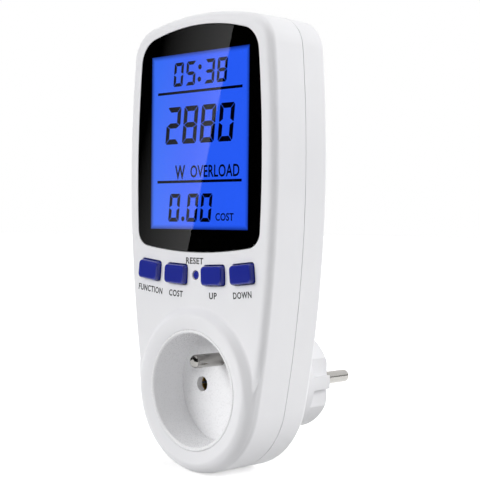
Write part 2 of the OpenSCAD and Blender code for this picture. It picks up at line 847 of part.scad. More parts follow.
// Header that joins the two boards: a strip on each and the row of pins between them
module board_link() {
    link_z = 57;
    link_pins = 8;
    link_pitch = 2.54;
    link_w = 2.5;
    pin_w = 0.64;
    strip_h = 2.5;
    half = link_pins * link_pitch / 2;
    color("black")
    union() {
        box([-half, panel_back_y, link_z - link_w / 2], [half, panel_back_y + strip_h, link_z + link_w / 2]);
        box([-half, power_y - strip_h, link_z - link_w / 2], [half, power_y, link_z + link_w / 2]);
        for (i = [0 : link_pins - 1])
            translate([-half + (i + 0.5) * link_pitch, 0, link_z])
            box([-pin_w / 2, panel_back_y + strip_h - bite, -pin_w / 2],
                [pin_w / 2, power_y - strip_h + bite, pin_w / 2]);
    }
}

// Current shunt: an arched strip over the ends of the line's two straps
module shunt() {
    foot = 2;
    rise = 4;
    x0 = line_out_x - line_strap_w / 2;
    x1 = line_in_x + line_strap_w / 2;
    low_z = strap_end_z - 5;
    color("rosybrown")
    difference() {
        box([x0, power_y - rise, low_z], [x1, power_y, low_z + 3]);
        box([x0 + foot, power_y - rise + strap_t, low_z - 1], [x1 - foot, power_y + 1, low_z + 4]);
        for (s = [0, 1])
            box([s == 0 ? x0 - 1 : x1 - foot + strap_t, power_y - rise - 1, low_z - 1],
                [s == 0 ? x0 + foot - strap_t : x1 + 1, power_y - strap_t, low_z + 4]);
    }
}

// Wire lead from a component's end down to the power board
module lead(x, z, y) {
    rod(x, z, lead_r, y, power_y);
}

module dropper_capacitor() {
    color("gold")
        slab(power_y - 8, power_y)
        translate([-10.5, 98])
        polygon(round_rect(18, 13, 1));
}

module smoothing_capacitor() {
    can_r = 4;
    can_len = 12;
    can_x = 13;
    can_z = 84;
    lead_out = 1.75;
    color("midnightblue")
    union() {
        translate([can_x, power_y - can_r - seat_gap, can_z])
            cylinder(r = can_r, h = can_len);
        for (s = [-1, 1]) {
            translate([can_x + s * lead_out, power_y - can_r - seat_gap, can_z - 2])
                cylinder(r = lead_r, h = 2 + bite);
            lead(can_x + s * lead_out, can_z - 2, power_y - can_r - seat_gap);
        }
    }
}

module varistor() {
    disc_r = 5;
    disc_t = 4;
    disc_x = -13;
    disc_z = 80;
    color("steelblue")
    union() {
        rod(disc_x, disc_z, disc_r, power_y - disc_t - seat_gap, power_y - seat_gap);
        for (s = [-1, 1])
            lead(disc_x + s * 3, disc_z - 2, power_y - disc_t / 2);
    }
}

module fuse_resistor() {
    fuse_r = 1.8;
    fuse_len = 9;
    fuse_z = 71;
    fuse_x = 8;
    axis_y = power_y - fuse_r - seat_gap;
    reach = 2;
    color("tan")
    union() {
        translate([fuse_x, axis_y, fuse_z])
            rotate([0, 90, 0])
            cylinder(r = fuse_r, h = fuse_len);
        translate([fuse_x - reach, axis_y, fuse_z])
            rotate([0, 90, 0])
            cylinder(r = lead_r, h = fuse_len + 2 * reach);
        for (x = [fuse_x - reach, fuse_x + fuse_len + reach])
            lead(x, fuse_z, axis_y);
    }
}

module rectifier() {
    color("black")
        slab(power_y - 2.5, power_y)
        translate([-13, 66])
        polygon(round_rect(8.5, 6.5, 0.4));
}

// Small-outline chip with its rows of legs
module meter_chip() {
    chip_x = -9;
    chip_z = 47;
    pitch = 1.27;
    pins = 8;
    color("black")
    union() {
        box([chip_x - 5, power_y - 1.8, chip_z - 2], [chip_x + 5, power_y - 0.2, chip_z + 2]);
        for (i = [0 : pins - 1])
            box([chip_x + (i - (pins - 1) / 2) * pitch - 0.2, power_y - 0.4, chip_z - 3],
                [chip_x + (i - (pins - 1) / 2) * pitch + 0.2, power_y, chip_z + 3]);
    }
}

// Controller under a drop of resin on the back of the display board
module controller_chip() {
    drop_r = 7;
    drop_h = 1.5;
    steps = 6;
    color("black")
    turned(0, 96)
        polygon(concat([[0, panel_back_y]],
            [for (i = [0 : steps]) let (a = 90 * i / steps)
                [drop_r * cos(a), panel_back_y + drop_h * sin(a)]]));
}

// Button cell that keeps the clock and the stored readings
module backup_battery() {
    cell_r = 6;
    cell_h = 5;
    rim = 0.8;
    color("silver")
    turned(18, 72)
        polygon([[0, panel_back_y], [cell_r - rim, panel_back_y], [cell_r - rim, panel_back_y + rim],
            [cell_r, panel_back_y + rim], [cell_r, panel_back_y + cell_h], [0, panel_back_y + cell_h]]);
}

// Screw along Y with its head's underside at y; way is the direction of its thread
module screw(x, z, y, way, len) {
    recess_w = 0.6;
    recess_d = 0.7;
    face_y = y - way * screw_head_h;
    difference() {
        union() {
            rod(x, z, screw_head_r, min(y, face_y), max(y, face_y));
            rod(x, z, screw_r, min(y - way * bite, y + way * len), max(y - way * bite, y + way * len));
        }
        for (cross = [[screw_head_r * 0.6, recess_w / 2], [recess_w / 2, screw_head_r * 0.6]])
            box([x - cross[0], min(face_y - way, face_y + way * recess_d), z - cross[1]],
                [x + cross[0], max(face_y - way, face_y + way * recess_d), z + cross[1]]);
    }
}

module board_screws() {
    color("silver") {
        for (s = [-1, 1], z = post_zs)
            screw(s * post_x, z, panel_back_y, -1, board_screw_len);
        for (p = standoff_places)
            screw(p[0], p[1], power_y, 1, board_screw_len);
    }
}

module cover_screws() {
    color("silver")
        for (p = cover_boss_places)
            screw(p[0], p[1], screw_seat_y, -1, cover_screw_len);
}

front_cover();
rear_cover();
plug_body();
socket_cup();
contact_carrier();
socket_earth_pin();
line_contact();
neutral_contact();
line_pin();
neutral_pin();
plug_earth_tube();
earth_clip();
line_in_strap();
line_out_strap();
neutral_strap();
display_window();
display_mask();
lcd_panel();
backlight();
lcd_frame();
zebra_strip();
display_board();
tact_switches();
function_button();
cost_button();
up_button();
down_button();
reset_button();
function_plunger();
cost_plunger();
up_plunger();
down_plunger();
reset_plunger();
power_board();
board_link();
shunt();
dropper_capacitor();
smoothing_capacitor();
varistor();
fuse_resistor();
rectifier();
meter_chip();
controller_chip();
backup_battery();
board_screws();
cover_screws();
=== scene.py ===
# %% [markdown]
# # A plug-in power meter
# The meter goes between a wall socket and an appliance: an earthed plug on the back, a pass-through
# socket low on the front, a backlit display behind a dark window, and a row of buttons between
# them. The CAD model is loaded as a fixed frame. Every piece below is in metres, in that same
# frame, so a piece that belongs at a CAD height and depth is simply built there.

# %% Load the CAD frame
import math

import bmesh
import bpy
from mathutils import Matrix, Vector


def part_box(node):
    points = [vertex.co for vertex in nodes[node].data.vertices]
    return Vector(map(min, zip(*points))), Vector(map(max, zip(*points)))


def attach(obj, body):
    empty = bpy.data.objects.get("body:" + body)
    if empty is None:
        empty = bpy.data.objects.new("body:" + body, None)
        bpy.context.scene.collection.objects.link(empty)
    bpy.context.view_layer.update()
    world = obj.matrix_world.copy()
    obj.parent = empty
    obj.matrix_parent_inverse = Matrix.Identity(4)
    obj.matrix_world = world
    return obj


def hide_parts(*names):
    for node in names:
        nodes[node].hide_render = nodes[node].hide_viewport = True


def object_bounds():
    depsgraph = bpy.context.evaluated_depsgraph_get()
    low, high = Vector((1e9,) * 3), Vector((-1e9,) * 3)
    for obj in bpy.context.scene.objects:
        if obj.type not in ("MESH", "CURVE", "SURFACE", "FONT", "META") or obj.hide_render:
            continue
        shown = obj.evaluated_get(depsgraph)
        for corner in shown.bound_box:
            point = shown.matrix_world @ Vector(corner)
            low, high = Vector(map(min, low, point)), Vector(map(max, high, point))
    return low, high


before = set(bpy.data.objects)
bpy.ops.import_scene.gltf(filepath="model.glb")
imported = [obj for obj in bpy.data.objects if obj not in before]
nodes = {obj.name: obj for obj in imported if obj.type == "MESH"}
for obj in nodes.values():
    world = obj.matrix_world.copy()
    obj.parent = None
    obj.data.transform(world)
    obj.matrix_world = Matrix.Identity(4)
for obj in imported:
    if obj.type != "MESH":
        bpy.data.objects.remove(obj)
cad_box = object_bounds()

MM = 0.001
scene = bpy.context.scene

# %% [markdown]
# ## The camera
# The photograph looks level at the right front corner of the meter, from about half a metre, with
# the sides of the housing running almost parallel. That is a long lens. The camera is placed by its
# own position, the direction it looks in and a small roll, because a hand-held or cut-out product
# picture is rarely quite upright. The Standard view transform shows a colour about as it is
# written.

# %% Place the camera
EYE = Vector((300.8, -331.8, 59.1)) * MM
AZIMUTH = math.radians(44.95)
RISE = math.radians(-0.854)
ROLL = math.radians(0.576)
LENS = 87.49
SENSOR = 36

level_ahead = Vector((-math.sin(AZIMUTH), math.cos(AZIMUTH), 0))
ahead = level_ahead * math.cos(RISE) + Vector((0, 0, math.sin(RISE)))
level_right = Vector((math.cos(AZIMUTH), math.sin(AZIMUTH), 0))
level_up = level_right.cross(ahead)
right = level_right * math.cos(ROLL) + level_up * math.sin(ROLL)
up = level_up * math.cos(ROLL) - level_right * math.sin(ROLL)

camera = bpy.data.objects.new("camera", bpy.data.cameras.new("camera"))
camera.data.sensor_width = SENSOR
camera.data.lens = LENS
camera.data.clip_start = 10 * MM
facing = Matrix((right, up, -ahead)).transposed().to_4x4()
camera.matrix_world = Matrix.Translation(EYE) @ facing
scene.collection.objects.link(camera)
scene.camera = camera
scene.view_settings.view_transform = "Standard"
print("camera at", [round(x, 3) for x in EYE], "lens", LENS)

# %% [markdown]
# ## A small kit for materials
# Colours are picked as they look on a screen, which is sRGB, and Blender's shaders want linear
# light, so one function converts them. Another adds a node, sets its properties and plugs its
# inputs in. The same helper builds shaders, the world and Geometry Nodes trees, since all three are
# node trees.

# %% Helpers for node trees


def linear(colour):
    """An sRGB hex colour as linear red, green, blue and alpha."""
    parts = [int(colour[i:i + 2], 16) / 255 for i in (1, 3, 5)]
    return [p / 12.92 if p <= 0.04045 else ((p + 0.055) / 1.055) ** 2.4 for p in parts] + [1]


def pick(sockets, key):
    """A socket by its identifier, or else by its name or number, as a node may repeat a name."""
    return next((s for s in sockets if s.identifier == key), None) or sockets[key]


def add(tree, kind, settings=None, inputs=None):
    """A new node: its own properties, then each input as a value or as the socket that feeds it."""
    made = tree.nodes.new(kind)
    for key, value in (settings or {}).items():
        setattr(made, key, value)
    for key, value in (inputs or {}).items():
        if isinstance(value, bpy.types.NodeSocket):
            tree.links.new(value, pick(made.inputs, key))
        else:
            pick(made.inputs, key).default_value = value
    return made


WHITE = linear("#FFFFFF")
print("mid grey is", round(linear("#808080")[0], 3), "in linear light")

# %% [markdown]
# ## What every finish starts with
# A finish is a material with one surface shader. Its patterns read the piece's own coordinates, in
# metres, so a pattern's scale follows from the real size of its features. Blender's wave texture
# runs through 20 radians in each unit, so its bands need a factor. Most surfaces here are not one
# flat colour but drift between two close tones in patches, so that step has a helper of its own.

# %% Helpers for finishes
WAVE_RADIANS = 20
finishes = {}


def start(name):
    """A new material with its tree, its surface shader and the piece's own coordinates."""
    made = bpy.data.materials.new(name)
    made.use_nodes = True
    tree = made.node_tree
    tree.nodes.clear()
    skin = add(tree, "ShaderNodeBsdfPrincipled")
    add(tree, "ShaderNodeOutputMaterial", inputs={"Surface": skin.outputs[0]})
    place = add(tree, "ShaderNodeTexCoord").outputs["Object"]
    return made, tree, skin, place


def per_metre(size_mm):
    """Scale of a pattern whose features are this many millimetres across."""
    return 1 / (size_mm * MM)


def bands_per_metre(spacing_mm):
    """Scale of a wave texture whose bands are this many millimetres apart."""
    return per_metre(spacing_mm) * math.tau / WAVE_RADIANS


def mottled(tree, skin, place, patch_mm, detail, first, second):
    """Lets a surface's colour drift from one tone to another in patches of this size. Gives the
    drift, which is 0 for the first tone and 1 for the second."""
    drift = add(tree, "ShaderNodeTexNoise", inputs={
        "Vector": place, "Scale": per_metre(patch_mm), "Detail": detail}).outputs["Fac"]
    tone = add(tree, "ShaderNodeMix", {"data_type": "RGBA"}, {
        "Factor_Float": drift, "A_Color": linear(first), "B_Color": linear(second)})
    tree.links.new(pick(tone.outputs, "Result_Color"), skin.inputs["Base Color"])
    return drift


print("1 mm patches have scale", per_metre(1), "and 1 mm bands", round(bands_per_metre(1)))

# %% [markdown]
# ## Moulded plastic
# The housing, the socket cup, the plug and the button caps are injection moulded. A mould is spark
# eroded or polished, so the skin has a very fine grain, and the melt leaves slow, faint changes of
# tone over centimetres. The grain on the real part is about 0.1 mm, finer than a pixel here, so it
# is drawn 0.5 mm wide and very shallow. ABS has an IOR near 1.53, and the socket's thermoset is a
# little glossier.

# %% Make the moulded plastics
FLOW_MM = 28
GLOSS_SPREAD = 0.05


def moulded(name, slot, colour, shade, roughness, relief_mm=0.004, grain_mm=0.5, ior=1.53):
    """A moulded plastic for a slot: slow drift of tone, and fine grain in its gloss and relief."""
    finishes[slot], tree, skin, place = start(name)
    mottled(tree, skin, place, FLOW_MM, 2, shade, colour)
    grain = add(tree, "ShaderNodeTexNoise", inputs={
        "Vector": place, "Scale": per_metre(grain_mm), "Detail": 3}).outputs["Fac"]
    gloss = add(tree, "ShaderNodeMapRange", inputs={
        "Value": grain, "To Min": roughness - GLOSS_SPREAD, "To Max": roughness + GLOSS_SPREAD})
    relief = add(tree, "ShaderNodeBump", inputs={
        "Strength": 0.6, "Distance": relief_mm * MM, "Height": grain})
    tree.links.new(gloss.outputs["Result"], skin.inputs["Roughness"])
    tree.links.new(relief.outputs["Normal"], skin.inputs["Normal"])
    skin.inputs["IOR"].default_value = ior


moulded("White_satin_ABS", "white_abs", "#F2F2F4", "#ECECEF", 0.34)
moulded("White_thermoset_socket", "socket_white", "#F6F6F7", "#F3F3F5", 0.28,
        relief_mm=0.0004, ior=1.55)
moulded("White_plug_PVC", "plug_white", "#EAEAEC", "#E4E4E7", 0.38)
moulded("Blue_ABS", "button_blue", "#1E2B96", "#1A258C", 0.20)
moulded("Grey_ABS_frame", "frame_grey", "#8A8D92", "#7F8288", 0.45)
moulded("Grey_glass_filled_nylon", "carrier_grey", "#6A6D72", "#5C5F64", 0.55, relief_mm=0.012)
moulded("Black_switch_nylon", "switch_black", "#1B1C1E", "#141516", 0.45)
print("moulded plastics:", len(finishes))

# %% [markdown]
# ## Metals
# The plug's pins and the socket's earth pin are turned brass with a nickel plate: mirror-like, with
# the faint rings that the lathe left. The rings are about 0.1 mm apart and are drawn at 0.4 mm.
# The earth pin's plate is drawn greyer than the plug pins': a painted shade for the dark room that
# its shaft reflects. The straps are copper, the contacts bare brass and the screws zinc-plated
# steel.
# Handling leaves a faint haze on all of them, in patches of some 4 mm. A metal's colour is its
# reflection, so metallic is 1 and the IOR stays at its default.

# %% Make the metals
HAZE_MM = 4
HAZE_DULLS = 0.06
HAZE_CLEARS = 0.04


def metal(name, slot, colour, dull, roughness, ring_mm, relief_mm):
    """A metal for a slot: a faint haze in its colour and gloss, and rings in its relief."""
    finishes[slot], tree, skin, place = start(name)
    haze = mottled(tree, skin, place, HAZE_MM, 4, dull, colour)
    rings = add(tree, "ShaderNodeTexWave", {"bands_direction": "Y"}, {
        "Vector": place, "Scale": bands_per_metre(ring_mm), "Distortion": 1.5, "Detail": 2})
    gloss = add(tree, "ShaderNodeMapRange", inputs={
        "Value": haze, "To Min": roughness + HAZE_DULLS, "To Max": roughness - HAZE_CLEARS})
    relief = add(tree, "ShaderNodeBump", inputs={
        "Strength": 0.5, "Distance": relief_mm * MM, "Height": rings.outputs["Fac"]})
    tree.links.new(gloss.outputs["Result"], skin.inputs["Roughness"])
    tree.links.new(relief.outputs["Normal"], skin.inputs["Normal"])
    skin.inputs["Metallic"].default_value = 1


metal("Nickel_plated_brass", "nickel", "#C4C2BE", "#B0AEAB", 0.14, ring_mm=0.4, relief_mm=0.002)
# A greyer copy of the nickel: painted shade for the dark reflections along the earth pin.
metal("Nickel_plated_brass_painted_darker", "nickel_painted_darker", "#A9A7A4", "#979592", 0.14,
      ring_mm=0.4, relief_mm=0.002)
metal("Bare_brass", "brass", "#D8B45E", "#C39D4B", 0.28, ring_mm=0.5, relief_mm=0.003)
metal("Rolled_copper", "copper", "#D08A62", "#B9734F", 0.32, ring_mm=0.8, relief_mm=0.003)
metal("Zinc_plated_steel", "steel", "#B9BCC0", "#A4A8AD", 0.30, ring_mm=0.5, relief_mm=0.003)
print("metals made, finishes so far:", len(finishes))

# %% [markdown]
# ## The window and its ink
# The window is a clear acrylic pane with black ink screened on its back, round a bare rectangle.
# The pane is a true dielectric, so its gloss is a reflection of the studio. The ink is nearly black
# and slightly rough, with specks of 0.6 mm where the screen's mesh let more of it through. It is
# only seen through the pane, so it has no gloss of its own.

# %% Make the clear acrylic and the ink
finishes["window_clear"], _, skin, _ = start("Clear_acrylic")
skin.inputs["Base Color"].default_value = WHITE
skin.inputs["Roughness"].default_value = 0.0
skin.inputs["IOR"].default_value = 1.49
skin.inputs["Transmission Weight"].default_value = 1

finishes["mask_black"], tree, skin, place = start("Black_screen_ink")
mottled(tree, skin, place, patch_mm=0.6, detail=2, first="#010101", second="#040404")
skin.inputs["Roughness"].default_value = 0.6
skin.inputs["Specular IOR Level"].default_value = 0.0
print("window finishes made, finishes so far:", len(finishes))

# %% [markdown]
# ## The lit glass
# Behind the bare part of the window is a liquid crystal glass, lit from behind by a blue light
# guide. It glows, and it is paler on the left: that paleness is a painted reflection of the pale
# sheet that the window reflects there, so its colour fades from left to middle. It is darker along
# the edge of the bare part, where the ink shades it: there the glow weakens with the distance to
# the nearest edge of the view.

# %% Make the lit glass
LEFT_BLUE_WITH_PAINTED_REFLECTION = "#3F74FF"
MIDDLE_BLUE = "#285EFC"
VIEW_WIDE = 50.0
VIEW_TALL = 62.5
EDGE_SHADE = 1.9

finishes["display_blue"], tree, skin, place = start("Blue_backlit_glass")
lcd_low, lcd_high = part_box("lcd_panel")
lcd_middle = (lcd_low + lcd_high) / 2
# The paler blue on the left is a painted reflection of the pale sheet, fading out by the middle.
across_from_left = add(tree, "ShaderNodeSeparateXYZ", inputs={"Vector": place}).outputs["X"]
fade = add(tree, "ShaderNodeMapRange", {"interpolation_type": "SMOOTHSTEP"}, {
    "Value": across_from_left, "From Min": lcd_low.x, "From Max": lcd_middle.x})
glow = add(tree, "ShaderNodeMix", {"data_type": "RGBA"}, {
    "Factor_Float": fade.outputs["Result"],
    "A_Color": linear(LEFT_BLUE_WITH_PAINTED_REFLECTION), "B_Color": linear(MIDDLE_BLUE)})
tree.links.new(pick(glow.outputs, "Result_Color"), skin.inputs["Emission Color"])

half_view = Vector((VIEW_WIDE / 2, 0, VIEW_TALL / 2)) * MM
offset = add(tree, "ShaderNodeVectorMath", {"operation": "SUBTRACT"}, {0: place, 1: lcd_middle})
either_way = add(tree, "ShaderNodeVectorMath", {"operation": "ABSOLUTE"}, {
    0: offset.outputs["Vector"]})
inward = add(tree, "ShaderNodeVectorMath", {"operation": "SUBTRACT"}, {
    0: half_view, 1: either_way.outputs["Vector"]})
from_edge = add(tree, "ShaderNodeSeparateXYZ", inputs={"Vector": inward.outputs["Vector"]}).outputs
nearest = add(tree, "ShaderNodeMath", {"operation": "MINIMUM"}, {
    0: from_edge["X"], 1: from_edge["Z"]})
shade = add(tree, "ShaderNodeMapRange", {"interpolation_type": "SMOOTHSTEP"}, {
    "Value": nearest.outputs[0],
    "From Min": -EDGE_SHADE / 2 * MM, "From Max": EDGE_SHADE * MM})
tree.links.new(shade.outputs["Result"], skin.inputs["Emission Strength"])
skin.inputs["Base Color"].default_value = linear("#0A1440")
skin.inputs["Roughness"].default_value = 0.5
skin.inputs["Specular IOR Level"].default_value = 0.0
print("display glass", [round(x / MM, 1) for x in lcd_high - lcd_low], "mm")

# %% [markdown]
# ## Boards, components and the light guide
# These are inside the closed case and only show when it is opened, but each has its own finish. The
# circuit boards are glass epoxy with a green lacquer: copper tracks under it make slightly lighter
# bands, drawn as a brick pattern with rows of 3 mm. The rubber strip under the display is layered,
# clear and black in turn, 0.2 mm apart in reality and 0.6 mm here so that the layers can be seen.

# %% Make the board and component finishes
finishes["board_green"], tree, skin, place = start("Green_lacquered_epoxy_board")
upright = add(tree, "ShaderNodeMapping", inputs={
    "Vector": place, "Rotation": (math.pi / 2, 0, 0)})
tracks = add(tree, "ShaderNodeTexBrick", {"offset": 0.37, "offset_frequency": 2}, {
    "Vector": upright.outputs["Vector"], "Color1": linear("#17613A"),
    "Color2": linear("#1A6B40"), "Mortar": linear("#0E4429"),
    "Scale": per_metre(12), "Mortar Size": 0.03, "Brick Width": 0.9, "Row Height": 0.25})
tree.links.new(tracks.outputs["Color"], skin.inputs["Base Color"])
skin.inputs["Roughness"].default_value = 0.32

finishes["conductive_rubber"], tree, skin, place = start("Layered_conductive_rubber")
bands = add(tree, "ShaderNodeTexWave", {"bands_direction": "X"}, {
    "Vector": place, "Scale": bands_per_metre(0.6)})
layered = add(tree, "ShaderNodeMix", {"data_type": "RGBA"}, {
    "Factor_Float": bands.outputs["Fac"],
    "A_Color": linear("#26262A"), "B_Color": linear("#C9A2A8")})
tree.links.new(pick(layered.outputs, "Result_Color"), skin.inputs["Base Color"])
skin.inputs["Roughness"].default_value = 0.7

moulded("Frosted_acrylic_light_guide", "light_guide", "#E6EEFF", "#D8E4FF", 0.5, ior=1.49)
moulded("Yellow_film_capacitor_box", "capacitor_yellow", "#E3B53A", "#D8A92E", 0.42)
moulded("Blue_shrink_sleeve", "can_blue", "#1F2E6B", "#1A275C", 0.38)
moulded("Blue_dipped_epoxy", "varistor_blue", "#2B5FA8", "#24559B", 0.35,
        relief_mm=0.02, grain_mm=1.2)
moulded("Tan_resistor_lacquer", "resistor_tan", "#C9AE86", "#BFA27A", 0.4)
moulded("Black_chip_epoxy", "chip_black", "#222326", "#1A1B1E", 0.55, relief_mm=0.01)
print("board and component finishes made, finishes so far:", len(finishes))

# %% [markdown]
# ## Finishes on the CAD nodes
# The CAD nodes come with plain materials that are named for the record's slots, so each finish goes
# where its slot's name is. Only the earth pin differs: it has the plug pins' slot, and its plate is
# painted greyer, as shade for the dark reflections along it.

# %% Put the finishes on the nodes
for node in nodes.values():
    for held in node.material_slots:
        held.material = finishes[held.material.name]
# The earth pin gets the greyer nickel, a painted shade for its dark reflections.
nodes["socket_earth_pin"].material_slots[0].material = finishes["nickel_painted_darker"]
print("finishes:", len(finishes), "on", len(nodes), "nodes")

# %% [markdown]
# ## Making a piece
# A finished piece is a plain mesh whose place is in its vertices, with its object at the origin. It
# rides on a CAD body, so that it moves when the body does.

# %% A helper for finished pieces


def piece(name, mesh, finish, body, slot, *stands_for):
    """A finished piece that rides on a body, and stands for these CAD nodes if any are named."""
    made = bpy.data.objects.new(name, mesh)
    scene.collection.objects.link(made)
    mesh.materials.clear()
    mesh.materials.append(finish)
    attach(made, body)
    if stands_for:
        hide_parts(*stands_for)


# %% [markdown]
# ## Copies of CAD nodes
# The CAD gives every node as loose flat triangles. Before the edges of a copy can be worked on, its
# corners are merged and its flat triangles are joined into whole faces. The node itself stays as it
# is, hidden, for collision.

# %% Helpers for copies of CAD nodes
FLAT = math.radians(0.2)
MERGE = 2e-6
SLIVER = 1e-6


def merged_copy(node):
    """A CAD node's triangles as a bmesh with its corners merged and its flat faces made whole."""
    bm = bmesh.new()
    bm.from_mesh(nodes[node].data)
    bmesh.ops.remove_doubles(bm, verts=bm.verts, dist=MERGE)
    bmesh.ops.dissolve_degenerate(bm, edges=bm.edges, dist=SLIVER)
    bmesh.ops.dissolve_limit(bm, angle_limit=FLAT, verts=bm.verts, edges=bm.edges)
    return bm


def as_mesh(name, bm):
    """A new mesh from a bmesh, which is freed."""
    mesh = bpy.data.meshes.new(name)
    bm.to_mesh(mesh)
    bm.free()
    return mesh


def rounded(bm, edges, offset):
    """Gives these edges a narrow bevel of two steps."""
    bmesh.ops.bevel(bm, geom=edges, offset=offset, segments=2, profile=0.5,
                    affect="EDGES", clamp_overlap=False)


def without_normals(mesh):
    """The mesh without the normals that the CAD stored, so that its shading is worked out anew."""
    spare = mesh.attributes.get("custom_normal")
    if spare:
        mesh.attributes.remove(spare)
    return mesh


bm = merged_copy("front_cover")
print("front cover corners", len(nodes["front_cover"].data.vertices), "merged", len(bm.verts))
bm.free()

# %% [markdown]
# ## The moulded shells
# A moulding has no facets and no knife edges: its rounded edges flow, and every outer rim has a
# small radius, because a sharp corner in a mould wears and chips. So the covers and the button caps
# are copied, the rims that show get a narrow bevel, and only true corners stay sharp in the
# shading.

# %% Soften the shells
SHARP = math.radians(38)
FRONT_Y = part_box("display_window")[0].y
RIM = 0.15 * MM
ON_RIM = 3e-6


def evaluated_mesh(name, holder):
    """A plain mesh of what an object's modifiers or text give. The object is then removed."""
    scene.collection.objects.link(holder)
    seen = holder.evaluated_get(bpy.context.evaluated_depsgraph_get())
    mesh = bpy.data.meshes.new_from_object(seen)
    mesh.name = name
    bpy.data.objects.remove(holder)
    return mesh


def flat_faced(mesh):
    """The mesh with its shading weighted by area, so that a flat face stays flat to its edge."""
    holder = bpy.data.objects.new("holder", without_normals(mesh))
    weight = holder.modifiers.new("weight", "WEIGHTED_NORMAL")
    weight.weight = 100
    weight.keep_sharp = True
    return evaluated_mesh(mesh.name, holder)


def softened(node, name, slot, body, rim_y=None):
    """A smoothly shaded piece in place of a CAD node, with a bevel on the rim at this depth."""
    bm = merged_copy(node)
    edges = [e for e in bm.edges if rim_y is not None and e.calc_face_angle(0) > SHARP
             and all(abs(v.co.y - rim_y) < ON_RIM for v in e.verts)]
    if edges:
        rounded(bm, edges, RIM)
    for face in bm.faces:
        face.smooth = True
    for edge in bm.edges:
        edge.smooth = edge.calc_face_angle(math.pi) < SHARP
    mesh = flat_faced(as_mesh(name, bm))
    piece(name, mesh, finishes[slot], body, slot, node)
    print(name, "faces", len(mesh.polygons), "rim edges", len(edges))


softened("front_cover", "front_shell", "white_abs", "housing", FRONT_Y)
softened("rear_cover", "rear_shell", "white_abs", "housing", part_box("rear_cover")[1].y)
for button in ("function", "cost", "up", "down"):
    softened(button + "_button", button + "_cap", "button_blue", button + "_key")

# %% [markdown]
# ## The window pane
# The pane drops into a recess and lies flush with the housing. Its cut edge is polished to a narrow
# chamfer, which shows as a fine bright line. The ink is printed on its back, with no air between
# them, so the pane's back lies a hair inside the ink: light meets the ink while it is still in the
# pane.

# %% Make the pane
INTO_INK = 0.02 * MM
CHAMFER = 0.2 * MM
PANE_BACK_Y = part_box("display_window")[1].y + INTO_INK
PANE_MIDDLE_Y = (FRONT_Y + PANE_BACK_Y) / 2

bm = merged_copy("display_window")
for vert in bm.verts:
    if vert.co.y > PANE_MIDDLE_Y:
        vert.co.y = PANE_BACK_Y
rim = [e for e in bm.edges if all(abs(v.co.y - FRONT_Y) < MERGE for v in e.verts)
       and e.calc_face_angle(0) > SHARP]
rounded(bm, rim, CHAMFER)
for face in bm.faces:
    face.smooth = False
mesh = without_normals(as_mesh("window_pane", bm))
piece("window_pane", mesh, finishes["window_clear"], "housing", "window_clear", "display_window")
print("window pane faces", len(mesh.polygons))

# %% [markdown]
# ## Figures on the display
# A seven-segment figure is made of bars that meet at mitred corners with a hairline between them.
# The bars repeat, so a Geometry Nodes tree makes them: it takes a mesh of points, one for each lit
# bar, with the bar's kind and turn as attributes, and puts the right bar on each. Its sizes are
# named inputs, so one tree serves all three rows of the display.

# %% Start the tree for segment figures
figures = bpy.data.node_groups.new("segment_figures", "GeometryNodeTree")
inlets = {"Geometry": "NodeSocketGeometry", "Finish": "NodeSocketMaterial"}
for size in ("Bar", "Flat Length", "Upright Length", "Middle Length", "Depth", "Lean"):
    inlets[size] = "NodeSocketFloat"
for name, kind in inlets.items():
    figures.interface.new_socket(name, in_out="INPUT", socket_type=kind)
figures.interface.new_socket("Geometry", in_out="OUTPUT", socket_type="NodeSocketGeometry")
given = add(figures, "NodeGroupInput").outputs
print("figure tree inputs:", ", ".join(inlets))

# %% [markdown]
# ## Four bars
# Four kinds of bar are enough: a flat bar for top and bottom, a middle bar, and an upright bar with
# its corner at one end or at the other. All are the same six-sided shape with other lengths and
# slopes. It starts as a grid of two by three points, and a switch moves each point by its number.
# Except in the middle bar, the tips lie near the outer edge, which cuts the figure's corners off.

# %% Shape the bars
TIP = 0.16
MIDDLE_TIP = 0.5
MITRE = 1.0
MIDDLE_SLOPE = 0.6
FLAT_BAR, MIDDLE_BAR, CORNER_FIRST, CORNER_LAST = range(4)

number = add(figures, "GeometryNodeInputIndex").outputs[0]


def pointed_bar(length, tip, first, last):
    """A bar with its outer edge on the x axis, this long from tip to tip. The tips lie this deep in
    it, and first and last say how far its two ends slope back for each step across it. The depth
    and the steps are in bar widths."""
    grid = add(figures, "GeometryNodeMeshGrid", inputs={
        "Size X": length, "Size Y": given["Bar"], "Vertices X": 2, "Vertices Y": 3})
    # How far back and how far down the inner edge, the tip and the outer edge go.
    across = ((1 - tip, -0.5), (0, -tip), (tip, -0.5))
    moves = [(slope * back, down, 0) for slope in (first, -last) for back, down in across]
    chosen = add(figures, "GeometryNodeIndexSwitch", {"data_type": "VECTOR"}, {"Index": number})
    while len(chosen.index_switch_items) < len(moves):
        chosen.index_switch_items.new()
    for socket, move in zip(list(chosen.inputs)[1:], moves):
        socket.default_value = move
    shift = add(figures, "ShaderNodeVectorMath", {"operation": "SCALE"}, {
        0: chosen.outputs[0], "Scale": given["Bar"]})
    return add(figures, "GeometryNodeSetPosition", inputs={
        "Geometry": grid.outputs["Mesh"], "Offset": shift.outputs[0]}).outputs[0]


bars = {FLAT_BAR: pointed_bar(given["Flat Length"], TIP, MITRE, MITRE),
        MIDDLE_BAR: pointed_bar(given["Middle Length"], MIDDLE_TIP,
                                1 / MIDDLE_SLOPE, 1 / MIDDLE_SLOPE),
        CORNER_FIRST: pointed_bar(given["Upright Length"], TIP, MITRE, MIDDLE_SLOPE),
        CORNER_LAST: pointed_bar(given["Upright Length"], TIP, MIDDLE_SLOPE, MITRE)}
print("kinds of bar:", len(bars))

# %% [markdown]
# ## Laying the bars
# Each kind of bar goes on the points that ask for it. Then the figures lean over, as higher points
# move further to the right, and get the thickness of a printed layer: the flat bars are raised, and
# a flipped copy closes them underneath.

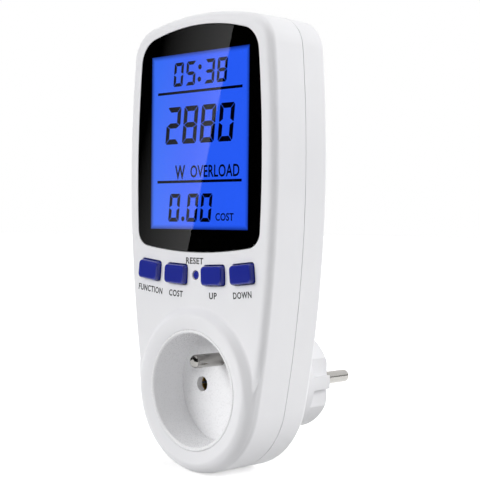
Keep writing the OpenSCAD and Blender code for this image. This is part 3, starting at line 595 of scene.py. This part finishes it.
# %% Lay, lean and thicken the bars
kind_of = add(figures, "GeometryNodeInputNamedAttribute", {"data_type": "INT"}, {"Name": "kind"})
turn_of = add(figures, "GeometryNodeInputNamedAttribute", {"data_type": "FLOAT"}, {"Name": "turn"})
turned = add(figures, "ShaderNodeCombineXYZ", inputs={"Z": pick(turn_of.outputs, "Attribute")})
together = add(figures, "GeometryNodeJoinGeometry")
for kind, bar in bars.items():
    here = add(figures, "FunctionNodeCompare", {"data_type": "INT", "operation": "EQUAL"}, {
        "A_INT": pick(kind_of.outputs, "Attribute"), "B_INT": kind})
    laid = add(figures, "GeometryNodeInstanceOnPoints", inputs={
        "Points": given["Geometry"], "Selection": here.outputs[0], "Instance": bar,
        "Rotation": turned.outputs[0]})
    figures.links.new(laid.outputs[0], together.inputs[0])
flat = add(figures, "GeometryNodeRealizeInstances", inputs={"Geometry": together.outputs[0]})
position = add(figures, "GeometryNodeInputPosition").outputs[0]
above = add(figures, "ShaderNodeSeparateXYZ", inputs={"Vector": position}).outputs["Y"]
aside = add(figures, "ShaderNodeMath", {"operation": "MULTIPLY"}, {0: above, 1: given["Lean"]})
lean = add(figures, "ShaderNodeCombineXYZ", inputs={"X": aside.outputs[0]})
leant = add(figures, "GeometryNodeSetPosition", inputs={
    "Geometry": flat.outputs[0], "Offset": lean.outputs[0]})
raised = add(figures, "GeometryNodeExtrudeMesh", inputs={
    "Mesh": leant.outputs[0], "Offset Scale": given["Depth"], "Individual": False})
under = add(figures, "GeometryNodeFlipFaces", inputs={"Mesh": leant.outputs[0]})
shut = add(figures, "GeometryNodeJoinGeometry")
for half in (raised, under):
    figures.links.new(half.outputs[0], shut.inputs[0])
merged = add(figures, "GeometryNodeMergeByDistance", inputs={
    "Geometry": shut.outputs[0], "Distance": SLIVER})
solid = add(figures, "GeometryNodeRealizeInstances", inputs={"Geometry": merged.outputs[0]})
inked = add(figures, "GeometryNodeSetMaterial", inputs={
    "Geometry": solid.outputs[0], "Material": given["Finish"]})
add(figures, "NodeGroupOutput", inputs={0: inked.outputs[0]})
print("figure tree nodes:", len(figures.nodes))

# %% [markdown]
# ## The dye of a lit segment
# A lit segment of the liquid crystal is nearly black, with a little of the backlight's blue in it.
# It isn't quite even, so its tone drifts in patches of 1.5 mm. The figures lie against the pane's
# back, as the ink does, so the pane's second reflection doesn't veil them.

# %% Make the dye, and a helper that puts figures in place
PRINT = 0.02 * MM
VIEW = Vector((0, PANE_BACK_Y + PRINT / 2, lcd_middle.z))
TO_FRONT = Matrix.Rotation(math.pi / 2, 4, "X")

dye, tree, skin, place = start("Liquid_crystal_dye")
mottled(tree, skin, place, patch_mm=1.5, detail=1, first="#03051A", second="#070B26")
skin.inputs["Roughness"].default_value = 0.5
skin.inputs["Specular IOR Level"].default_value = 0.0


def on_display(mesh, x_mm, z_mm):
    """Stands a flat mesh upright, half into the pane's back, this far right of and above the
    middle of the view."""
    spot = VIEW + Vector((x_mm, 0, z_mm)) * MM
    mesh.transform(Matrix.Translation(spot) @ TO_FRONT)
    return mesh


print("middle of the view", [round(x / MM, 2) for x in VIEW], "mm")

# %% [markdown]
# ## Lighting the bars
# Each row of the display is its own object: the clock, the power in watts and the cost. A figure is
# a set of letters, a to g, one for each lit bar, clockwise from the top with g in the middle.

# %% Make the three rows of figures
LIT = {"0": "abcdef", "2": "abdeg", "3": "abcdg", "5": "acdfg", "8": "abcdefg"}
HAIR = 0.12
QUARTER = math.pi / 2


def figure_row(name, text, lefts, base, width, height, bar, lean):
    """One row of figures. Sizes are millimetres, base and lefts from the middle of the view, and
    lean is in degrees."""
    half, middle = height / 2, width / 2
    corner = TIP * bar
    low = (half + corner) / 2
    high = height - low
    spots = {"a": (middle, height, FLAT_BAR, 0), "d": (middle, 0, FLAT_BAR, math.pi),
             "b": (width, high, CORNER_FIRST, -QUARTER), "c": (width, low, CORNER_LAST, -QUARTER),
             "f": (0, high, CORNER_LAST, QUARTER), "e": (0, low, CORNER_FIRST, QUARTER),
             "g": (middle, half + bar / 2, MIDDLE_BAR, 0)}
    rows = [(left + x, z, kind, turn) for figure, left in zip(text, lefts)
            for x, z, kind, turn in (spots[s] for s in LIT[figure])]
    points = bpy.data.meshes.new(name + "_points")
    points.from_pydata([(x * MM, z * MM, 0) for x, z, *_ in rows], [], [])
    for key, number_type, column in (("kind", "INT", 2), ("turn", "FLOAT", 3)):
        values = points.attributes.new(key, number_type, "POINT").data
        values.foreach_set("value", [row[column] for row in rows])
    holder = bpy.data.objects.new(name + "_points", points)
    grow = holder.modifiers.new("figures", "NODES")
    grow.node_group = figures
    across = width - 2 * corner
    sizes = {"Bar": bar * MM, "Flat Length": (across - 2 * HAIR) * MM,
             "Middle Length": (across - 3 * HAIR) * MM,
             "Upright Length": (half - corner - 2 * HAIR) * MM,
             "Depth": PRINT, "Lean": math.tan(math.radians(lean)), "Finish": dye}
    for item in figures.interface.items_tree:
        if item.in_out == "INPUT" and item.name in sizes:
            grow[item.identifier] = sizes[item.name]
    mesh = on_display(evaluated_mesh(name, holder), 0, base)
    piece(name, mesh, dye, "housing", "mask_black")
    print(name, "bars", len(rows), "faces", len(mesh.polygons))


figure_row("clock_figures", "0538", (-13.2, -6.8, 2.85, 9.1), base=19.7,
           width=4.9, height=8.5, bar=1.25, lean=5)
figure_row("power_figures", "2880", (-17.3, -8.4, 0.7, 9.85), base=-0.85,
           width=7.3, height=13.3, bar=1.85, lean=5.7)
figure_row("cost_figures", "000", (-15.4, -5.9, 1.15), base=-28.6,
           width=5.55, height=10.0, bar=1.45, lean=6)

# %% [markdown]
# ## Rules and dots on the display
# Two thin rules part the rows, and round dots make the clock's colon and the decimal point. Each is
# a flat outline that is raised to the thickness of the print.

# %% Lay out the rules and dots
RULE_LONG = 43.3
RULE_HIGH = 0.95
COLON_DOT = 0.9
POINT_DOT = 0.85
DOT_STEPS = 20


def plate(outline):
    """A flat closed plate of print thickness from a list of x, y points in millimetres."""
    bm = bmesh.new()
    face = bm.faces.new([bm.verts.new((x * MM, y * MM, 0)) for x, y in outline])
    top = bmesh.ops.extrude_face_region(bm, geom=[face])["geom"]
    for vert in (g for g in top if isinstance(g, bmesh.types.BMVert)):
        vert.co.z = PRINT
    bmesh.ops.recalc_face_normals(bm, faces=bm.faces)
    return as_mesh("plate", bm)


def disc(radius):
    """A round plate of this radius."""
    turns = [math.tau * i / DOT_STEPS for i in range(DOT_STEPS)]
    return plate([(radius * math.cos(turn), radius * math.sin(turn)) for turn in turns])


def rule(width, height):
    """A straight plate, centred."""
    x, y = width / 2, height / 2
    return plate([(-x, -y), (x, -y), (x, y), (-x, y)])


def joined(name, meshes):
    """Several meshes as one."""
    bm = bmesh.new()
    for mesh in meshes:
        bm.from_mesh(mesh)
    return as_mesh(name, bm)


marks = [on_display(rule(RULE_LONG, RULE_HIGH), x, z) for x, z in ((0.2, 17.55), (0.25, -14.3))]
marks += [on_display(disc(radius), x, z) for radius, x, z in (
    (COLON_DOT, 0.7, 25.8), (COLON_DOT, 0.4, 21.5), (POINT_DOT, -7.5, -27.55))]
mesh = joined("display_rules_and_dots", marks)
piece("display_rules_and_dots", mesh, dye, "housing", "mask_black")
print("rules and dots", len(marks), "faces", len(mesh.polygons))

# %% [markdown]
# ## Words on the display
# The words are set in a plain sans face and squeezed to the narrow proportions of display
# lettering. Text becomes a mesh first, and is then stretched to its real width and height, so that
# the font's own size doesn't matter.

# %% Set the words
FONT_MERGE = 1e-5


def lettering(words, width_mm, height_mm, weight=0.024, spacing=1.12):
    """Flat lettering as a closed mesh of print thickness, centred, this wide and high. Weight
    thickens the strokes, and spacing is the room that each letter takes."""
    curve = bpy.data.curves.new("words", "FONT")
    curve.body = words
    curve.extrude = 0.5
    curve.offset = weight
    curve.space_character = spacing
    curve.resolution_u = 4
    mesh = evaluated_mesh("words", bpy.data.objects.new("words", curve))
    bm = bmesh.new()
    bm.from_mesh(mesh)
    bmesh.ops.remove_doubles(bm, verts=bm.verts, dist=FONT_MERGE)
    for axis, size_mm in ((0, width_mm), (1, height_mm)):
        low = min(v.co[axis] for v in bm.verts)
        high = max(v.co[axis] for v in bm.verts)
        for vert in bm.verts:
            vert.co[axis] = (vert.co[axis] - (low + high) / 2) / (high - low) * size_mm * MM
    for vert in bm.verts:
        vert.co.z = (vert.co.z + curve.extrude) * PRINT
    bmesh.ops.recalc_face_normals(bm, faces=bm.faces)
    bm.to_mesh(mesh)
    bm.free()
    return mesh


words = [on_display(lettering("W", 5.35, 5.1, weight=0.026), -9.2, -11.0),
         on_display(lettering("OVERLOAD", 24.5, 4.35, weight=0.018, spacing=1.05), 8.5, -10.8),
         on_display(lettering("COST", 8.9, 2.7, weight=0.022, spacing=1.08), 13.7, -26.8)]
mesh = joined("display_words", words)
piece("display_words", mesh, dye, "housing", "mask_black")
print("display words", len(words), "faces", len(mesh.polygons))

# %% [markdown]
# ## Legends beside the buttons
# The housing is pad printed in dark grey: a soft silicone pad lifts ink from an etched plate and
# presses it on. The film is thin and a little uneven, in patches of 0.9 mm. Each legend sits square
# to its button, on an arc round the same middle as the buttons' own, so it is turned by its place
# on that arc.

# %% Print the legends
ARC_MIDDLE_Z = 269.5
LEGEND_ARC = 236.1
RESET_ARC = 224
LEGEND_HIGH = 2.3
INTO_FACE = 0.005 * MM

print_ink, tree, skin, place = start("Grey_pad_printing_ink")
mottled(tree, skin, place, patch_mm=0.9, detail=2, first="#0B0C0E", second="#16171A")
skin.inputs["Roughness"].default_value = 0.5


def legend(words, x_mm, width_mm, radius):
    """A legend on the front face, on an arc of this radius below its middle and turned with it."""
    tilt = math.asin(x_mm / radius)
    mesh = lettering(words, width_mm, LEGEND_HIGH)
    mesh.transform(Matrix.Rotation(tilt, 4, "Z"))
    spot = Vector((radius * math.sin(tilt), 0, ARC_MIDDLE_Z - radius * math.cos(tilt))) * MM
    spot.y = FRONT_Y + INTO_FACE
    mesh.transform(Matrix.Translation(spot) @ TO_FRONT)
    return mesh


legends = [legend("FUNCTION", -24.1, 13.2, LEGEND_ARC), legend("COST", -10.2, 7.3, LEGEND_ARC),
           legend("UP", 9.0, 3.8, LEGEND_ARC), legend("DOWN", 23.3, 8.8, LEGEND_ARC),
           legend("RESET", -0.5, 8.9, RESET_ARC)]
mesh = joined("button_legends", legends)
piece("button_legends", mesh, print_ink, "housing", "mask_black")
print("legends", len(legends), "faces", len(mesh.polygons))

# %% [markdown]
# ## The paper floor
# White plastic on white is shown by shade alone, so not much light may come back from the floor.
# The paper, with faint clouds of 3 mm from its fibres, looks white to the camera, in reflections
# and through glass, but it passes on less light than white would, which keeps the shading. Light
# Path tells those rays apart.

# %% Lay the floor
FLOOR_GAP = 0.2 * MM
FLOOR_REACH = 6
FLOOR_LIFT = 0.55
FLOOR_Z = cad_box[0][2] - FLOOR_GAP


def looked_at(tree):
    """One for a ray from the camera, a reflection or glass, and zero for one that only lights."""
    path = add(tree, "ShaderNodeLightPath").outputs
    seen = path["Is Camera Ray"]
    for ray in ("Is Glossy Ray", "Is Transmission Ray"):
        either = add(tree, "ShaderNodeMath", {"operation": "MAXIMUM"}, {0: seen, 1: path[ray]})
        seen = either.outputs[0]
    return seen


bm = bmesh.new()
bmesh.ops.create_grid(bm, x_segments=1, y_segments=1, size=FLOOR_REACH)
bmesh.ops.translate(bm, verts=bm.verts, vec=(0, 0, FLOOR_Z))
floor = bpy.data.objects.new("floor", as_mesh("floor", bm))
scene.collection.objects.link(floor)
paper, tree, skin, place = start("White_paper_sweep")
mottled(tree, skin, place, patch_mm=3, detail=2, first="#F8F8F8", second="#FBFBFB")
skin.inputs["Roughness"].default_value = 0.9
skin.inputs["Specular IOR Level"].default_value = 0.0
skin.inputs["Emission Color"].default_value = WHITE
skin.inputs["Emission Strength"].default_value = FLOOR_LIFT
dim = add(tree, "ShaderNodeBsdfDiffuse", inputs={"Color": linear("#C0C0C0")})
shown = add(tree, "ShaderNodeMixShader", inputs={
    0: looked_at(tree), 1: dim.outputs[0], 2: skin.outputs[0]})
tree.links.new(shown.outputs[0], tree.nodes["Material Output"].inputs["Surface"])
floor.data.materials.append(paper)
print("floor at", round(FLOOR_Z / MM, 1), "mm")

# %% [markdown]
# ## The white tent
# The world is a white tent round the meter. As with the floor, it looks white but gives only a
# little light, because light from everywhere would flatten every shade.

# %% Put up the tent
TENT_LIGHT = 0.03

world = bpy.data.worlds.new("white_tent")
scene.world = world
world.use_nodes = True
tree = world.node_tree
tree.nodes.clear()
soft = add(tree, "ShaderNodeBackground", inputs={"Color": WHITE, "Strength": TENT_LIGHT})
white = add(tree, "ShaderNodeBackground", inputs={"Color": WHITE, "Strength": 1})
shown = add(tree, "ShaderNodeMixShader", inputs={
    0: looked_at(tree), 1: soft.outputs[0], 2: white.outputs[0]})
add(tree, "ShaderNodeOutputWorld", inputs={"Surface": shown.outputs[0]})
print("tent gives", TENT_LIGHT, "and looks white")

# %% [markdown]
# ## The lamps
# The light comes from both sides and from above, and the corner that faces the camera stays a
# little darker than the faces beside it. Broad, soft suns are used because their light doesn't
# weaken with distance, so the floor stays even. Only the small flash over the camera is seen in
# reflections.

# %% Set up the lamps


def out_towards(azimuth, height):
    """The direction to this azimuth, in degrees from the front to the right, and height."""
    a, h = math.radians(azimuth), math.radians(height)
    return Vector((math.sin(a) * math.cos(h), -math.cos(a) * math.cos(h), math.sin(h)))


def soft_sun(name, azimuth, height, strength, spread, reflected=False):
    """A broad sun that shines from this azimuth and height, spread over these degrees of sky."""
    lamp = bpy.data.lights.new(name, "SUN")
    lamp.energy = strength
    lamp.angle = math.radians(spread)
    made = bpy.data.objects.new(name, lamp)
    made.rotation_euler = out_towards(azimuth, height).to_track_quat("Z", "Y").to_euler()
    made.visible_camera = made.visible_transmission = False
    made.visible_glossy = reflected
    scene.collection.objects.link(made)
    print(name, "from azimuth", azimuth, "height", height, "strength", strength)


soft_sun("front_softbox", azimuth=-30, height=20, strength=2.15, spread=45)
soft_sun("rear_right_softbox", azimuth=135, height=25, strength=2.66, spread=40)
soft_sun("overhead_softbox", azimuth=0, height=85, strength=0.8, spread=40)
soft_sun("flash_over_camera", azimuth=45, height=16, strength=0.36, spread=7, reflected=True)

# %% [markdown]
# ## What the window reflects
# A glossy pane shows the room, not its own colour. In the picture a slanted edge runs down the
# pane: left of it hangs a pale sheet that fades away from the edge, right of it is black cloth. So
# a card hangs where the camera sees it in the pane. Mirroring the camera in the pane's face gives
# the place, because a ray from the mirrored camera goes straight through.

# %% Find the place of the pale sheet
EDGE_TOP = Vector((18.0, 0, 126.3)) * MM
EDGE_LOW = Vector((-4.5, 0, 48.2)) * MM
CARD_AWAY = 0.5

mirrored_eye = Vector((EYE.x, 2 * FRONT_Y - EYE.y, EYE.z))


def seen_in_pane(spot):
    """Where a ray from the camera that the pane turns back at this spot is, CARD_AWAY later."""
    on_pane = Vector((spot.x, FRONT_Y, spot.z))
    return on_pane + (on_pane - mirrored_eye).normalized() * CARD_AWAY


top, low = seen_in_pane(EDGE_TOP), seen_in_pane(EDGE_LOW)
edge_long = (top - low).length
middle = (top + low) / 2
along = (top - low).normalized()
across = along.cross((mirrored_eye - middle).normalized()).normalized()
facing = across.cross(along).normalized()
print("edge of the sheet", round(edge_long / MM), "mm long")

# %% [markdown]
# ## The pale sheet
# A card is only there for reflections, so it neither lights the object nor blocks a view, and its
# material only glows. This one glows most along the slanted edge, and not at all on the other side
# of it or below its reach.

# %% Hang the pale sheet
SHEET_GLOW = 0.9
SHEET_FADE = 0.05
SHEET_REACH = 0.55


def glowing(name):
    """A material that only glows white: itself, its tree, its glow and the card's coordinates."""
    made, tree, skin, place = start(name)
    tree.nodes.remove(skin)
    glow = add(tree, "ShaderNodeEmission", inputs={"Color": WHITE})
    tree.links.new(glow.outputs[0], tree.nodes["Material Output"].inputs["Surface"])
    return made, tree, glow, place


def hang(name, finish, middle, turn, wide=1, tall=1, through_glass=False):
    """A flat card, in metres, that reflections see, and that also shows through glass if asked."""
    bm = bmesh.new()
    bmesh.ops.create_grid(bm, x_segments=1, y_segments=1, size=0.5,
                          matrix=Matrix.Diagonal((wide, tall, 1, 1)))
    card = bpy.data.objects.new(name, as_mesh(name, bm))
    card.matrix_world = Matrix.Translation(middle) @ turn.to_4x4()
    scene.collection.objects.link(card)
    card.data.materials.append(finish)
    card.visible_camera = card.visible_diffuse = card.visible_shadow = False
    card.visible_transmission = through_glass
    print(name, "at", [round(x, 2) for x in middle], "m")


sheet, tree, glow, place = glowing("Pale_sheet_and_black_cloth")
spot = add(tree, "ShaderNodeSeparateXYZ", inputs={"Vector": place}).outputs
shine = add(tree, "ShaderNodeMapRange", inputs={
    "Value": spot["X"], "From Min": SHEET_FADE, "From Max": 0.0,
    "To Min": 0.0, "To Max": SHEET_GLOW}).outputs["Result"]
for value, least in ((spot["X"], 0.0), (spot["Y"], -SHEET_REACH * edge_long)):
    inside = add(tree, "ShaderNodeMath", {"operation": "GREATER_THAN"}, {0: value, 1: least})
    shine = add(tree, "ShaderNodeMath", {"operation": "MULTIPLY"}, {
        0: shine, 1: inside.outputs[0]}).outputs[0]
tree.links.new(shine, glow.inputs["Strength"])
hang("reflected_card", sheet, middle, Matrix((across, along, facing)).transposed(),
     through_glass=True)

# %% [markdown]
# ## What the plastic and the pins reflect
# Satin plastic and plated pins reflect the room as well. The room behind the camera is dark, so the
# window stays deep and the sides of the buttons stay blue. A thin grey strip at the back draws a
# dark line along the pins.

# %% Hang the dark room and the strip


def mirror_card(name, azimuth, height, away, wide, tall, strength):
    """A card that faces the display from this azimuth and height, with an even glow."""
    out = out_towards(azimuth, height)
    sheet, _, glow, _ = glowing(name)
    glow.inputs["Strength"].default_value = strength
    hang(name, sheet, lcd_middle + out * away, out.to_track_quat("Z", "Y").to_matrix(), wide, tall)


mirror_card("dark_room", azimuth=30, height=0, away=0.7, wide=2.4, tall=1.6, strength=0.0)
mirror_card("grey_strip", azimuth=137, height=2, away=0.8, wide=0.8, tall=0.12, strength=0.1)
